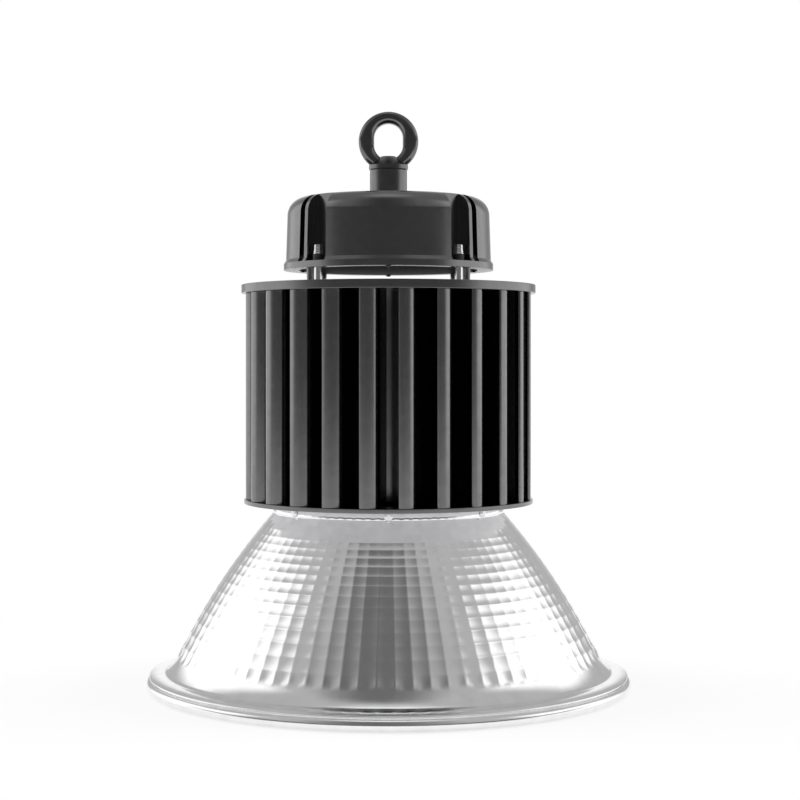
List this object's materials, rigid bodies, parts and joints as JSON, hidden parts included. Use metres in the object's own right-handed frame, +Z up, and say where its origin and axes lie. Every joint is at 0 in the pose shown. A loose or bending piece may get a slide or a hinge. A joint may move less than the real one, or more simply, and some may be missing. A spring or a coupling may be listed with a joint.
{
  "type": "high bay light",
  "caption": "Hanging high bay light with a hooked-fin heat sink, a driver housing and lifting eye on top, and a faceted spun reflector below.",
  "frame": {"origin": "centre of the light opening, in the plane of the reflector's rim", "axes": "+Z up the axis of the light to the lifting eye, -Y the front, +Y the side of the cable gland"},
  "size_m": [0.4064, 0.4062, 0.4841],
  "materials": {
    "spun_aluminium": "satin, brightened spun sheet",
    "stainless": "bright turned stainless steel",
    "black_anodise": "black anodised",
    "clear_glass": "clear toughened glass",
    "black_rubber": "matt moulded rubber",
    "grey_pad": "soft silicone pad",
    "white_board": "white solder mask on aluminium",
    "led_phosphor": "silicone over phosphor",
    "fin_coat": "satin black coat on extruded aluminium",
    "plate_coat": "satin black coat",
    "case_coat": "satin black powder coat on die-cast aluminium",
    "eye_coat": "satin black coat on cast iron",
    "base_sheet": "black sheet",
    "circuit_board": "green glass-epoxy board",
    "choke_core": "taped winding",
    "capacitor_can": "shrink-sleeved can",
    "gland_plastic": "black moulded polyamide",
    "zinc_steel": "zinc plated"
  },
  "bodies": {
    "root": {"reflector": "spun_aluminium", "reflector_screws": "stainless", "neck_ring": "black_anodise", "lens": "clear_glass", "lens_gasket": "black_rubber", "lens_bezel": "black_anodise", "bezel_screws": "stainless", "thermal_pad": "grey_pad", "led_board": "white_board", "led_chips": "led_phosphor", "board_screws": "stainless", "heat_sink": "fin_coat", "top_plate": "plate_coat", "bottom_plate": "plate_coat", "top_plate_screws": "stainless", "bottom_plate_screws": "stainless", "driver_case": "case_coat", "driver_screws": "stainless", "driver_bushes": "black_rubber", "spacer_sleeves": "stainless", "driver_base_plate": "base_sheet", "base_screws": "stainless", "driver_circuit": "circuit_board", "driver_choke": "choke_core", "driver_capacitors": "capacitor_can", "gland_body": "gland_plastic", "gland_nut": "gland_plastic", "gland_seal": "black_rubber", "lifting_eye": "eye_coat", "eye_washer": "zinc_steel", "eye_nut": "zinc_steel"}
  },
  "joints": []
}
